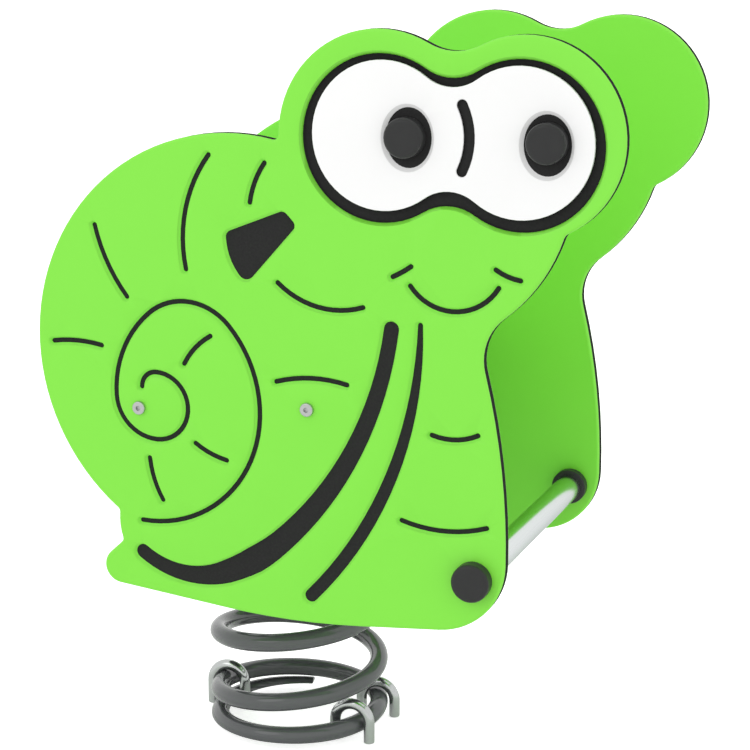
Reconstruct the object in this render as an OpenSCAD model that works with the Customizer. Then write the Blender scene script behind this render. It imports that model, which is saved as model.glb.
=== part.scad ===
// Snail spring rider: two routed sheet panels on a seat frame, carried by one clamped coil spring.
// The origin lies on the spring's axis at ground level, X points the way the snail faces, Z is up.

/* [Side panels] */
// Clear width between the two panels
panel_gap = 350; // [300:5:420]
// Thickness of the three-layer sheet
sheet_t = 15; // [12:1:19]
// Depth of the routed lines, down to the dark core of the sheet
groove_d = 4; // [2:0.5:5]
// Width of the thin routed lines
line_w = 5; // [4:0.2:8]

/* [Shell and body outline] */
// Radius of the shell
shell_r = 221; // [212:0.5:230]
// Shell centre, ahead of the spring axis
shell_x = 10; // [2:1:18]
// Shell centre, above the ground
shell_z = 471.5; // [464:0.5:478]
// Radius of the rump above the tail
rump_r = 70; // [60:1:80]
// Radius of the tail's tip
tail_r = 19; // [16:1:24]
// Tail's tip, behind the spring axis
tail_x = 122.5; // [116:0.5:128]
// Tail's tip, above the ground
tail_z = 233.5; // [228:0.5:240]
// Lowest line of the belly, above the ground
belly_z = 197; // [188:1:203]
// Radius of the belly's sag
belly_r = 800; // [500:50:1000]
// Radius of the rounded foot below the chest
toe_r = 74; // [62:1:82]
// Centre of the rounded foot, ahead of the spring axis
toe_x = 223; // [213:1:238]
// Centre of the rounded foot, above the ground
toe_z = 280; // [270:1:290]
// Radius of the bowed front above the rounded foot
front_r = 740; // [500:20:1200]

/* [Head outline] */
// Radius of the rear brow lobe
rear_brow_r = 104; // [97:0.5:110]
// Radius of the front brow lobe
front_brow_r = 96.5; // [92:0.5:105]
// Rear brow lobe, ahead of the spring axis
rear_brow_x = 165; // [157:0.5:172]
// Front brow lobe, ahead of the spring axis
front_brow_x = 310.5; // [301:0.5:321]
// Centre of the rear brow lobe, above the ground
rear_brow_z = 693; // [685:0.5:702]
// Centre of the front brow lobe, above the ground
front_brow_z = 698; // [690:0.5:707]
// Radius of the chin
chin_r = 170; // [160:1:180]
// Chin centre, ahead of the spring axis
chin_x = 188; // [180:0.5:196]
// Chin centre, above the ground
chin_z = 660.5; // [652:0.5:670]
// Radius of the hollow between chin and chest
chest_r = 53; // [45:1:62]

/* [Eyes] */
// Radius of the two round ends of the eye pocket
pocket_r = 81; // [75:0.5:86]
// Rear end of the eye pocket, ahead of the rear brow lobe
rear_pocket_off = 2; // [0:0.5:8]
// Front end of the eye pocket, behind the front brow lobe
front_pocket_off = 4.5; // [0:0.5:8]
// Front end of the eye pocket, below the front brow lobe's centre
pocket_drop = 7; // [2:0.5:10]
// Rise of the eyes from their front end to their rear end
eye_tilt = 2; // [0:0.5:4]
// Depth of the eye pocket, which is the thickness of the white eye plate
eye_plate_t = 8; // [6:0.5:9]
// Dark band left around the white eye plate
eye_band = 9; // [5:0.5:11]
// Room between a cap and the rim of its pupil, at the sides
pupil_room = 3.75; // [2.75:0.25:6]
// Height of a pupil
pupil_h = 58; // [54:0.5:66]
// Rear pupil, ahead of the pocket's rear end
rear_pupil_off = 27.5; // [22:0.5:32]
// Front pupil, ahead of the pocket's front end
front_pupil_off = 25.5; // [20:0.5:29]
// Each pupil, above the pocket's end
pupil_rise = 2; // [-2:0.5:6]

/* [Bars and caps] */
// Outside diameter of the handle bar and the foot bar
bar_d = 29; // [26:0.5:31]
// Wall of the handle bar and the foot bar
bar_wall = 2.6; // [2:0.2:4]
// Foot bar, ahead of the spring axis
foot_x = 265; // [257:0.5:268]
// Foot bar, above the ground
foot_z = 263; // [254:0.5:268]
// Diameter of the end caps and of the inner collars
cap_d = 39; // [37:0.5:43]
// Height of an end cap
cap_h = 15; // [12:0.5:18]
// Length of an inner collar
collar_l = 12; // [8:1:20]
// Thread diameter of the bar bolts
bar_bolt_d = 10; // [8:1:12]

/* [Seat frame] */
// Outside diameter of the seat rails
rail_d = 33.7; // [30:0.1:38]
// Wall of the seat rails
rail_wall = 3.2; // [2:0.2:5]
// Rear rail, behind the spring axis
rear_rail_x = 96; // [92:1:104]
// Axis of the rear rail, above the top plate
rear_rail_rise = 22.5; // [20:0.5:30]
// Front rail, ahead of the spring axis
front_rail_x = 90; // [86:1:98]
// Axis of the front rail, above the top plate
front_rail_rise = 36.5; // [32:0.5:44]
// Length of the seat board
seat_l = 290; // [250:5:320]
// Thread diameter of the panel bolts
panel_bolt_d = 8; // [6:1:10]
// Length of the plate on top of the spring
plate_l = 260; // [250:5:280]
// Width of the plate on top of the spring
plate_w = 250; // [240:5:280]
// Thickness of the plate on top of the spring
plate_t = 8; // [6:1:10]

/* [Spring and clamps] */
// Wire diameter of the spring
wire_d = 20; // [18:0.5:21]
// Outside diameter of the spring
spring_d = 200; // [192:1:206]
// Top of the spring, above the ground
spring_h = 376; // [370:1:378]
// Flat foot of the spring, where its lowest turn is ground off, above the ground
spring_foot = 17.5; // [16:0.5:19]
// Whole turns of the spring between its two ends
coil_turns = 6; // [5:1:7]
// Climb of the closed end turns, for each turn
end_pitch = 22; // [21:0.5:27]
// Rod diameter of the clamps
rod_d = 12; // [10:0.5:12]
// Sideways distance of the two lower front clamps from the middle
clamp_y = 41; // [36:1:46]
// Ends of the lower front clamps' legs, above the ground
front_leg_end = 8.5; // [2:0.5:14]
// Ends of the lower rear clamp's legs, above the ground
rear_leg_end = 12.5; // [0:0.5:18]

/* [Hidden] */
$fn = 48;
// Largest distance between an arc and the straight steps that follow it
arc_tol = 0.1;
// Gap between the wire and a clamp leg, wide enough for a sleeve on the leg past the flats of the swept wire
wire_clear = 1.6;
// Gap between the wire and the arch of an upper clamp or the top plate
arch_clear = 0.5;
// Gaps between the wire and the arches of the lower clamps
rear_arch_gap = 0.6;
left_arch_gap = 1.8;
right_arch_gap = 9.2;
// Gap between a shank, tube or plug and its hole
fit_clear = 0.1;
// Gap left around a hole or cavity that only lets a piece pass
pass_clear = 0.5;
// Overshoot of a cutting shape past the face it opens
cut_over = 1;

inner_y = panel_gap / 2;
face_y = inner_y + sheet_t;

// Hollow radii that join the outline's round forms
neck_fillet = 9;
brow_fillet = 56;
nape_fillet = 5;
tail_fillet = 5;
pocket_fillet = 48;
plate_fillet = 42;
// Way from the chin's centre to the hollow above the chest
chest_aim = -52;
// Rump centre, behind the spring axis and above the ground
rump_x = 53.5;
rump_z = 285.5;
// Way from the rump's centre to the notch above the tail
notch_aim = 197;
// Lowest point of the belly, ahead of the spring axis
belly_x = 82;

// Eye pocket and pupils, carried by the brow lobes
rear_pocket_x = rear_brow_x + rear_pocket_off;
front_pocket_x = front_brow_x - front_pocket_off;
front_pocket_z = front_brow_z - pocket_drop;
rear_pocket_z = front_pocket_z + eye_tilt;
pupil_w = cap_d + 2 * pupil_room;
rear_pupil = [rear_pocket_x + rear_pupil_off, rear_pocket_z + pupil_rise];
front_pupil = [front_pocket_x + front_pupil_off, front_pocket_z + pupil_rise];
// White eye plate: its ends drawn together, moved forward and lifted inside the pocket
eye_draw = 1.2;
eye_shift = 0.8;
eye_lift = 3;

// Thin routed lines: start, end, and how far they bow to the right of the way between
LINES = [
    [[-15, 670], [-42, 554], 13],
    [[45, 664.5], [29, 625], 2.5],
    [[-143.5, 593.5], [-109, 521.5], 4.5],
    [[-194.5, 469.5], [-139.5, 468.5], -2.5],
    [[58, 546.5], [148, 527.5], 12.5],
    [[55.5, 446], [131, 448.5], -5],
    [[-46, 456.5], [-16.5, 487], -3],
    [[-35, 374], [-0.5, 359], 2],
    [[-87.5, 353.5], [-73.5, 310], 2.5],
    [[220, 405.5], [267, 409], 4.5],
    [[189, 315.5], [277, 316.5], 7],
    [[197, 552], [286, 555.5], 24],
    [[179, 560], [197.5, 571], 0.5],
    [[283, 573], [307.5, 564], 1.5]
];
// Spiral of the shell: start, heading, then [radius, turn] of each arc
SPIRAL_START = [-94.5, 429];
SPIRAL_HEADING = 90;
SPIRAL = [
    [16, -90], [35.5, -180], [45.5, -88], [110, -52],
    [63, -40], [64.5, -48.5], [131, -43.5], [126.5, -91.5]
];
// Thick crescent under the shell
CRESCENT_START = [-97.5, 251.5];
CRESCENT_HEADING = -36.5;
CRESCENT = [[97, 59], [208, 20], [378, 40]];
crescent_w = 15.5;
crescent_swell = 12.5;
// Heading at which the crescent is widest
crescent_peak = 33;
// Tapered line of the breast
BREAST_START = [207.5, 514];
BREAST_HEADING = -90;
BREAST = [[417, -43.75]];
breast_w = 13.6;
// Dark wedge on the shell: round corners, each [x, z, radius]
WEDGE = [[24, 557, 9.4], [70, 604, 6.4], [63, 610, 7.4], [9.8, 589, 7.4], [63, 590, 60.4]];
// Line between the eyes
BRIDGE = [[249, 728], [249, 665.5], -7.2];
bridge_w = 10.5;

// Bars: the handle lies behind the middle of the rear pupil, and the front eye's cap level with it
handle_back = 2;
handle_rise = 0.5;
handle_x = rear_pupil[0] - handle_back;
handle_z = rear_pupil[1] + handle_rise;
eye_cap_off = 1;
eye_cap_x = front_pupil[0] + eye_cap_off;
eye_cap_z = handle_z;
cap_round = 4.5;
cap_crown = 2.5;
base_t = 3;
base_d = 34;
bolt_head_h = 5.5;
bar_bolt_head_d = bar_bolt_d * 1.8;
bar_plug_l = 30;
bar_bolt_l = 32;
eye_screw_d = 5;
eye_screw_l = 12;
pupil_floor_y = face_y - groove_d;

// Seat frame
plate_z = spring_h + arch_clear;
plate_top = plate_z + plate_t;
rear_rail_z = plate_top + rear_rail_rise;
front_rail_z = plate_top + front_rail_rise;
rail_plug_l = 30;
panel_bolt_l = 35;
panel_head_d = 14;
panel_head_h = 4;
panel_socket = 5;
panel_socket_d = 2.5;
saddle_y = 50;
saddle_t = 6;
saddle_w = 56;
seat_gap = 0.5;
seat_back = 150;
seat_corner = 25;
seat_screw_d = 6;
seat_screw_y = 120;
seat_tilt = atan2(front_rail_z - rear_rail_z, front_rail_x + rear_rail_x);
rail_span = norm([front_rail_x + rear_rail_x, front_rail_z - rear_rail_z]);
plate_corner = 20;

// Spring: angles in degrees along the wire, from its lower end
wire_r = wire_d / 2;
coil_r = spring_d / 2 - wire_r;
wire_start = 102;
ends_apart = 246;
wire_turn = 360 * coil_turns + ends_apart;
end_turn = 405;
end_ease = 60;
// Depth of the wire's middle below the flat foot, at the wire's lower end
foot_sink = 5.1;
wire_low = spring_foot - foot_sink;
wire_rise = spring_h - wire_r - wire_low;
end_slope = end_pitch / 360;
mid_slope = end_slope + (wire_rise - end_slope * wire_turn) / (wire_turn - 2 * end_turn);
rings_per_turn = 32;
ring_sides = 10;
ring_count = ceil(wire_turn / 360 * rings_per_turn);

// Clamps: angles along the wire, from its end, of the one that holds two turns and of the pair
double_hold = 78;
pair_hold = [230, 286];
rod_r = rod_d / 2;
leg_off = wire_r + rod_r + wire_clear;
clamp_w = leg_x(leg_off, clamp_y) - leg_x(-leg_off, clamp_y);
washer_t = 2.5;
washer_d = 2 * rod_d;
nut_w = 1.6 * rod_d;
nut_h = 10;
stud_past = 4;

// Outline geometry: a circle is [x, z, radius], and a negative radius is followed on its hollow side

// Straight steps that keep an arc within the tolerance
function steps(r, turn) = max(2, ceil(abs(turn) / (2 * acos(1 - arc_tol / max(abs(r), 1)))));

// Heading of the common tangent from circle a to circle b
function tangent(a, b) =
    let (d = [b[0] - a[0], b[1] - a[1]])
    atan2(d[1], d[0]) - asin(max(-1, min(1, (b[2] - a[2]) / norm(d))));

// Points round circle c between two headings
function bend(c, from, to) =
    let (
        raw = (to - from) % 360,
        left = raw < 0 ? raw + 360 : raw,
        turn = c[2] > 0 ? left : left - 360,
        n = steps(c[2], turn)
    )
    [for (i = [0:n]) let (h = from + turn * i / n) [c[0] + c[2] * sin(h), c[1] - c[2] * cos(h)]];

// Outline that runs round a ring of circles like a belt
function belt(circles) =
    let (
        n = len(circles),
        points = [
            for (i = [0:n - 1])
                let (
                    before = circles[(i + n - 1) % n],
                    here = circles[i],
                    after = circles[(i + 1) % n]
                )
                each bend(here, tangent(before, here), tangent(here, after))
        ]
    )
    spaced(points);

// The points without any that repeat the one before
function spaced(points) =
    let (n = len(points))
    [for (i = [0:n - 1]) if (norm(points[i] - points[(i + n - 1) % n]) > arc_tol / 4) points[i]];

// Circle of signed radius r that touches circles a and b: a hollow one lies on the right of the way
function touching(a, b, r) =
    let (
        d = [b[0] - a[0], b[1] - a[1]],
        from_a = abs(a[2] - r),
        from_b = abs(b[2] - r),
        open = acos((pow(from_a, 2) + pow(norm(d), 2) - pow(from_b, 2)) / (2 * from_a * norm(d))),
        aim = atan2(d[1], d[0]) + sign(r) * open
    )
    [a[0] + from_a * cos(aim), a[1] + from_a * sin(aim), r];

// Points with headings along a chain of arcs, each [radius, turn]
function trail(at, heading, arcs, i = 0) =
    i >= len(arcs) ? [] :
    let (
        r = arcs[i][0] * sign(arcs[i][1]),
        turn = arcs[i][1],
        n = steps(r, turn),
        centre = at + r * [-sin(heading), cos(heading)],
        part = [
            for (k = [(i == 0 ? 0 : 1):n])
                let (h = heading + turn * k / n)
                [centre + r * [sin(h), -cos(h)], h]
        ]
    )
    concat(part, trail(part[len(part) - 1][0], heading + turn, arcs, i + 1));

// Trail of one bowed line
function bow(line) =
    let (
        way = line[1] - line[0],
        chord = norm(way),
        sag = line[2],
        turn = 4 * atan(2 * sag / chord),
        r = (pow(chord, 2) / 4 + pow(sag, 2)) / (2 * abs(sag))
    )
    trail(line[0], atan2(way[1], way[0]) - turn / 2, [[r, turn]]);

// Widths along a trail: even, growing fast and then slowly, or swelling to a peak at one heading
function even(path, w) = [for (stop = path) w];
function growing(path, from_w, to_w) =
    let (n = len(path) - 1)
    [for (k = [0:n]) to_w - (to_w - from_w) * pow(1 - k / n, 3)];
function swelling(path, w, swell, peak) =
    let (
        first = path[0][1],
        last = path[len(path) - 1][1]
    )
    [
        for (stop = path)
            let (h = stop[1])
            h < peak
                ? w + swell * pow((h - first) / (peak - first), 2)
                : w + swell * pow((last - h) / (last - peak), 1.5)
    ];

// Outline of a routed line along a trail, with its width at each point and round ends
function ribbon(path, widths) =
    let (
        n = len(path) - 1,
        side = [for (k = [0:n]) widths[k] / 2 * [sin(path[k][1]), -cos(path[k][1])]],
        right = [for (k = [0:n]) path[k][0] + side[k]],
        left = [for (k = [n:-1:0]) path[k][0] - side[k]],
        front = round_end(path[n], widths[n] / 2, -90),
        back = round_end(path[0], widths[0] / 2, 90)
    )
    concat(right, front, left, back);

// Points of a half circle at a trail's end, without its two ends
function round_end(stop, r, first) =
    let (n = steps(r, 180))
    [for (k = [1:n - 1]) let (a = stop[1] + first + 180 * k / n) stop[0] + r * [cos(a), sin(a)]];

SPIRAL_PATH = trail(SPIRAL_START, SPIRAL_HEADING, SPIRAL);
CRESCENT_PATH = trail(CRESCENT_START, CRESCENT_HEADING, CRESCENT);
CRESCENT_WIDTHS = swelling(CRESCENT_PATH, crescent_w, crescent_swell, crescent_peak);
BREAST_PATH = trail(BREAST_START, BREAST_HEADING, BREAST);
BRIDGE_PATH = bow(BRIDGE);

// Outline circles of the panel, counter-clockwise as seen from the right side
toe = [toe_x, toe_z, toe_r];
chin = [chin_x, chin_z, chin_r];
chest_reach = chin_r + chest_r;
chest = [chin_x + chest_reach * cos(chest_aim), chin_z + chest_reach * sin(chest_aim), -chest_r];
front_brow = [front_brow_x, front_brow_z, front_brow_r];
rear_brow = [rear_brow_x, rear_brow_z, rear_brow_r];
shell = [shell_x, shell_z, shell_r];
rump = [-rump_x, rump_z, rump_r];
notch_reach = rump_r + tail_fillet;
notch = [notch_reach * cos(notch_aim) - rump_x, rump_z + notch_reach * sin(notch_aim), -tail_fillet];
tail = [-tail_x, tail_z, tail_r];
belly = [belly_x, belly_z + belly_r, belly_r];
PANEL = [
    toe, touching(toe, chest, front_r),
    chest, chin, touching(chin, front_brow, -neck_fillet),
    front_brow, touching(front_brow, rear_brow, -brow_fillet),
    rear_brow, touching(rear_brow, shell, -nape_fillet),
    shell, touching(shell, rump, -tail_fillet),
    rump, notch, tail, belly
];

// Outline circles of a pair of eyes joined by two hollows
function eyes(rear, front, r, fillet) =
    let (a = [each rear, r], b = [each front, r])
    [a, touching(a, b, -fillet), b, touching(b, a, -fillet)];

POCKET = eyes([rear_pocket_x, rear_pocket_z], [front_pocket_x, front_pocket_z], pocket_r, pocket_fillet);
EYE_PLATE = eyes(
    [rear_pocket_x + eye_shift + eye_draw, rear_pocket_z + eye_lift],
    [front_pocket_x + eye_shift - eye_draw, front_pocket_z + eye_lift],
    pocket_r - eye_band,
    plate_fillet
);

// Upright oval of a pupil about its middle
function pupil(at) =
    let (n = steps(pupil_h / 2, 360))
    [for (k = [0:n - 1]) let (a = 360 * k / n) at + [pupil_w / 2 * cos(a), pupil_h / 2 * sin(a)]];

// Sheet of thickness t drawn in X and Z, on the right side of the rider, its outer face at depth d
module sheet(t, d = 0) {
    translate([0, t + d - face_y, 0])
        rotate([90, 0, 0])
            linear_extrude(t)
                children();
}

// Cut of depth d into the outer face of the right panel
module routed(d) {
    sheet(d + cut_over, -cut_over)
        children();
}

// Rod along Y on the right side, between two distances from the middle plane
module cross_rod(x, z, r, near, far) {
    translate([x, -near, z])
        rotate([90, 0, 0])
            cylinder(r = r, h = far - near);
}

// A piece of the right side and its mirror image on the left side
module both_sides() {
    children();
    mirror([0, 1, 0])
        children();
}

// Right panel with its routed lines, eye pocket and bolt holes
module side_panel() {
    difference() {
        sheet(sheet_t)
            polygon(belt(PANEL));
        routed(eye_plate_t)
            polygon(belt(POCKET));
        for (path = [for (line = LINES) bow(line)])
            routed(groove_d)
                polygon(ribbon(path, even(path, line_w)));
        routed(groove_d)
            polygon(ribbon(SPIRAL_PATH, even(SPIRAL_PATH, line_w)));
        routed(groove_d)
            polygon(ribbon(CRESCENT_PATH, CRESCENT_WIDTHS));
        routed(groove_d)
            polygon(ribbon(BREAST_PATH, growing(BREAST_PATH, line_w, breast_w)));
        routed(groove_d)
            polygon(belt(WEDGE));
        for (at = [[handle_x, handle_z], [foot_x, foot_z]])
            cross_rod(at[0], at[1], bar_bolt_d / 2 + pass_clear, inner_y - cut_over, face_y + cut_over);
        for (at = [[-rear_rail_x, rear_rail_z], [front_rail_x, front_rail_z]])
            cross_rod(at[0], at[1], panel_bolt_d / 2 + pass_clear, inner_y - cut_over, face_y + cut_over);
        eye_screw_hole();
    }
}

// Blind hole of the screw that holds a front eye cap
module eye_screw_hole() {
    cross_rod(eye_cap_x, eye_cap_z, eye_screw_d / 2 + fit_clear,
        pupil_floor_y + base_t - eye_screw_l - pass_clear, face_y);
}

// White eye plate with its pupils and the line between them
module eye_plate() {
    difference() {
        sheet(eye_plate_t)
            polygon(belt(EYE_PLATE));
        for (at = [rear_pupil, front_pupil])
            routed(groove_d)
                polygon(pupil(at));
        routed(groove_d)
            polygon(ribbon(BRIDGE_PATH, even(BRIDGE_PATH, bridge_w)));
        cross_rod(handle_x, handle_z, bar_bolt_d / 2 + pass_clear, inner_y, face_y);
        eye_screw_hole();
    }
}

// Tube across the rider between the two panels
module cross_tube(x, z, d, wall) {
    difference() {
        cross_rod(x, z, d / 2, -inner_y, inner_y);
        cross_rod(x, z, d / 2 - wall, -inner_y - cut_over, inner_y + cut_over);
    }
}

// Collar round a bar's end, against the inside of the right panel
module collar(x, z) {
    difference() {
        cross_rod(x, z, cap_d / 2, inner_y - collar_l, inner_y);
        cross_rod(x, z, bar_d / 2 + fit_clear, inner_y - collar_l - cut_over, inner_y + cut_over);
    }
}

// Hollow end cap with a rounded rim, standing on the right side at distance seat from the middle plane
module cap(x, z, seat) {
    cavity_h = cap_h - cap_crown;
    rim_steps = 4;
    rim = [
        for (k = [0:rim_steps])
            let (a = 90 * k / rim_steps)
            [cap_d / 2 - cap_round * (1 - cos(a)), cap_h - cap_round * (1 - sin(a))]
    ];
    profile = concat(
        [[base_d / 2 + fit_clear, 0], [cap_d / 2, 0]],
        rim,
        [[0, cap_h], [0, cavity_h], [base_d / 2 + fit_clear, cavity_h]]
    );
    translate([x, -seat, z])
        rotate([90, 0, 0])
            rotate_extrude()
                polygon(profile);
}

// Disc under a bolt head, on which the cap snaps
module cap_base(x, z, seat, hole_r) {
    difference() {
        cross_rod(x, z, base_d / 2, seat, seat + base_t);
        cross_rod(x, z, hole_r, seat - cut_over, seat + base_t + cut_over);
    }
}

// Button-head screw on the right side, its head's seat at distance seat from the middle plane
module side_screw(x, z, seat, d, l, head_d, head_h) {
    cross_rod(x, z, d / 2, seat - l, seat);
    translate([x, -seat, z])
        rotate([90, 0, 0])
            cylinder(d1 = head_d, d2 = head_d * 0.7, h = head_h);
}

// Threaded plug inside the end of a tube on the right side
module tube_plug(x, z, bore_d, hole_d, l) {
    difference() {
        cross_rod(x, z, bore_d / 2 - fit_clear, inner_y - l, inner_y);
        cross_rod(x, z, hole_d / 2 + fit_clear, inner_y - l - cut_over, inner_y + cut_over);
    }
}

// Height of the wire's middle after a turn from its lower end, with an eased change of pitch
function eased(u) = u < -end_ease ? 0 : u > end_ease ? u : pow(u + end_ease, 2) / (4 * end_ease);
function wire_z(turn) =
    wire_low + end_slope * turn
    + (mid_slope - end_slope) * (eased(turn - end_turn) - eased(turn - wire_turn + end_turn));

// Middle of the wire after a turn
function wire_at(turn) =
    [coil_r * cos(wire_start + turn), coil_r * sin(wire_start + turn), wire_z(turn)];

// Ring of points round the wire after a turn, square to its run
function wire_ring(turn) =
    let (
        a = wire_start + turn,
        out = [cos(a), sin(a), 0],
        step = wire_at(turn + 1) - wire_at(turn - 1),
        up = cross(out, step / norm(step))
    )
    [
        for (k = [0:ring_sides - 1])
            let (b = 360 * k / ring_sides)
            wire_at(turn) + wire_r * (cos(b) * out + sin(b) * up)
    ];

// Least gap between two turns of the wire, measured on the middles of its rings
ring_middles = [for (i = [0:ring_count]) wire_at(wire_turn * i / ring_count)];
spring_gap = min([
    for (i = [0:ring_count])
        for (j = [i + rings_per_turn / 2:ring_count])
            norm(ring_middles[i] - ring_middles[j])
]) - wire_d;
echo(least_gap_between_spring_turns = spring_gap);

// Coil spring as one unbroken tube with closed end turns, its lowest turn ground to a flat foot
module main_spring() {
    color("#5f6466")
        difference() {
            spring_wire();
            translate([0, 0, spring_foot - spring_h])
                cylinder(d = spring_d + 2 * cut_over, h = spring_h);
        }
}

// Wire of the spring, as rings of points joined by triangles
module spring_wire() {
    rings = [for (i = [0:ring_count]) each wire_ring(wire_turn * i / ring_count)];
    last = ring_count * ring_sides;
    sides = [
        for (i = [0:ring_count - 1])
            for (k = [0:ring_sides - 1])
                let (
                    a = i * ring_sides + k,
                    b = i * ring_sides + (k + 1) % ring_sides
                )
                each [[a, b, b + ring_sides], [a, b + ring_sides, a + ring_sides]]
    ];
    first_end = [for (k = [1:ring_sides - 2]) [0, k + 1, k]];
    last_end = [for (k = [1:ring_sides - 2]) [last, last + k, last + k + 1]];
    polyhedron(points = rings, faces = concat(sides, first_end, last_end));
}

// U-shaped clamp rod: legs at two places, from a foot level to an arch whose middle line tops out at a level
module clamp_rod(inner, outer, foot, top) {
    half = norm(outer - inner) / 2;
    middle = (inner + outer) / 2;
    leg_l = top - half - foot;
    translate([middle[0], middle[1], foot])
        rotate([0, 0, atan2(outer[1] - inner[1], outer[0] - inner[0])]) {
            for (side = [-1, 1])
                translate([side * half, 0, 0])
                    cylinder(r = rod_r, h = leg_l);
            translate([0, 0, leg_l])
                rotate([90, 0, 0])
                    rotate_extrude(angle = 180)
                        translate([half, 0])
                            circle(r = rod_r);
        }
}

// Distance along X of a leg that stands off the wire's middle line, at distance y from the middle
function leg_x(off, y) = sqrt(pow(coil_r + off, 2) - y * y);

// Lower clamp: holds the wire after a turn with a gap over it, its legs side by side along X
module lower_clamp(turn, y, way, leg_end, gap) {
    outer = [way * leg_x(leg_off, y), y];
    inner = outer - [way * clamp_w, 0];
    color("#bdc1c0")
        clamp_rod(inner, outer, leg_end, wire_z(turn) + wire_r + gap + rod_r);
}

// Legs of an upper clamp at a turn back from the wire's top end
function upper_leg(back, off) =
    let (a = wire_start + wire_turn - back)
    (coil_r + off) * [cos(a), sin(a)];

// Upper clamp: the same rod upside down, its legs through the top plate
module upper_clamp(back, held_back) {
    foot = plate_top + washer_t + nut_h + stud_past;
    hold = wire_z(wire_turn - held_back) - wire_r - arch_clear - rod_r;
    color("#bdc1c0")
        mirror([0, 0, 1])
            clamp_rod(upper_leg(back, -leg_off), upper_leg(back, leg_off), -foot, -hold);
}

// Something at each of the six legs of the upper clamps, at a height
module at_upper_legs(z) {
    for (back = concat([double_hold], pair_hold))
        for (off = [-leg_off, leg_off])
            translate([each upper_leg(back, off), z])
                children();
}

module lower_clamp_front_right() { lower_clamp(pair_hold[0], -clamp_y, 1, front_leg_end, right_arch_gap); }
module lower_clamp_front_left() { lower_clamp(pair_hold[1], clamp_y, 1, front_leg_end, left_arch_gap); }
module lower_clamp_rear() { lower_clamp(double_hold + 360, 0, -1, rear_leg_end, rear_arch_gap); }

module upper_clamp_rear() { upper_clamp(pair_hold[0], pair_hold[0]); }
module upper_clamp_front() { upper_clamp(pair_hold[1], pair_hold[1]); }
module upper_clamp_side() { upper_clamp(double_hold, double_hold + 360); }

module upper_clamp_washers() {
    color("#bdc1c0")
        at_upper_legs(plate_top)
            difference() {
                cylinder(d = washer_d, h = washer_t);
                translate([0, 0, -cut_over])
                    cylinder(r = rod_r + pass_clear, h = washer_t + 2 * cut_over);
            }
}

module upper_clamp_nuts() {
    color("#bdc1c0")
        at_upper_legs(plate_top + washer_t)
            difference() {
                cylinder(d = nut_w / cos(30), h = nut_h, $fn = 6);
                translate([0, 0, -cut_over])
                    cylinder(r = rod_r + fit_clear, h = nut_h + 2 * cut_over);
            }
}

module top_plate() {
    color("#5f6466")
        difference() {
            translate([0, 0, plate_z])
                linear_extrude(plate_t)
                    rounded(plate_l, plate_w, plate_corner);
            at_upper_legs(plate_z - cut_over)
                cylinder(r = rod_r + pass_clear, h = plate_t + 2 * cut_over);
        }
}

// Rectangle about the origin with round corners
module rounded(l, w, r) {
    square([l - 2 * r, w], center = true);
    square([l, w - 2 * r], center = true);
    for (x = [r - l / 2, l / 2 - r])
        for (y = [r - w / 2, w / 2 - r])
            translate([x, y])
                circle(r = r);
}

// Saddles that carry a rail on the top plate
module saddles(x, z) {
    color("#5f6466")
        both_sides()
            difference() {
                translate([x - saddle_w / 2, saddle_y - saddle_t / 2, plate_top])
                    cube([saddle_w, saddle_t, z - plate_top]);
                mirror([0, 1, 0])
                    cross_rod(x, z, rail_d / 2 + fit_clear, 0, inner_y);
            }
}

module rear_rail_saddles() { saddles(-rear_rail_x, rear_rail_z); }
module front_rail_saddles() { saddles(front_rail_x, front_rail_z); }

// Frame of the tilted seat: origin on the rear rail's axis, X towards the front rail
module seat_frame() {
    translate([-rear_rail_x, 0, rear_rail_z])
        rotate([0, -seat_tilt, 0])
            children();
}

// Screw places on the seat, over both rails
module at_seat_screws() {
    for (along = [0, rail_span])
        for (y = [-seat_screw_y, seat_screw_y])
            translate([along, y, 0])
                children();
}

// Seat rail drilled for the seat's screws
module seat_rail(x, z) {
    color("#5f6466")
        difference() {
            cross_tube(x, z, rail_d, rail_wall);
            seat_frame()
                at_seat_screws()
                    cylinder(d = seat_screw_d + 2 * fit_clear, h = rail_d);
        }
}

module rear_seat_rail() { seat_rail(-rear_rail_x, rear_rail_z); }
module front_seat_rail() { seat_rail(front_rail_x, front_rail_z); }

module rail_plugs() {
    color("#8d9192")
        both_sides() {
            tube_plug(-rear_rail_x, rear_rail_z, rail_d - 2 * rail_wall, panel_bolt_d, rail_plug_l);
            tube_plug(front_rail_x, front_rail_z, rail_d - 2 * rail_wall, panel_bolt_d, rail_plug_l);
        }
}

// Panel bolt with a hexagon socket
module panel_bolt(x, z) {
    difference() {
        side_screw(x, z, face_y, panel_bolt_d, panel_bolt_l, panel_head_d, panel_head_h);
        translate([x, panel_socket_d - face_y - panel_head_h, z])
            rotate([90, 0, 0])
                cylinder(d = panel_socket / cos(30), h = panel_socket_d + cut_over, $fn = 6);
    }
}

module panel_bolts() {
    color("#c9cccb")
        both_sides() {
            panel_bolt(-rear_rail_x, rear_rail_z);
            panel_bolt(front_rail_x, front_rail_z);
        }
}

seat_w = panel_gap - 2 * seat_gap;
seat_under = rail_d / 2 + fit_clear;
seat_head_h = seat_screw_d / 2;

// Countersunk head of a seat screw, larger all round by a gap
module screw_cone(gap) {
    cylinder(d1 = seat_screw_d + 2 * gap, d2 = 2 * seat_screw_d + 2 * gap, h = seat_head_h);
}

module seat_board() {
    color("#90f156")
        seat_frame()
            difference() {
                translate([rear_rail_x - seat_back + seat_l / 2, 0, seat_under])
                    linear_extrude(sheet_t)
                        rounded(seat_l, seat_w, seat_corner);
                at_seat_screws()
                    translate([0, 0, seat_under + sheet_t - seat_head_h])
                        screw_cone(fit_clear);
                at_seat_screws()
                    cylinder(d = seat_screw_d + 2 * fit_clear, h = seat_under + sheet_t + cut_over);
            }
}

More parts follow.
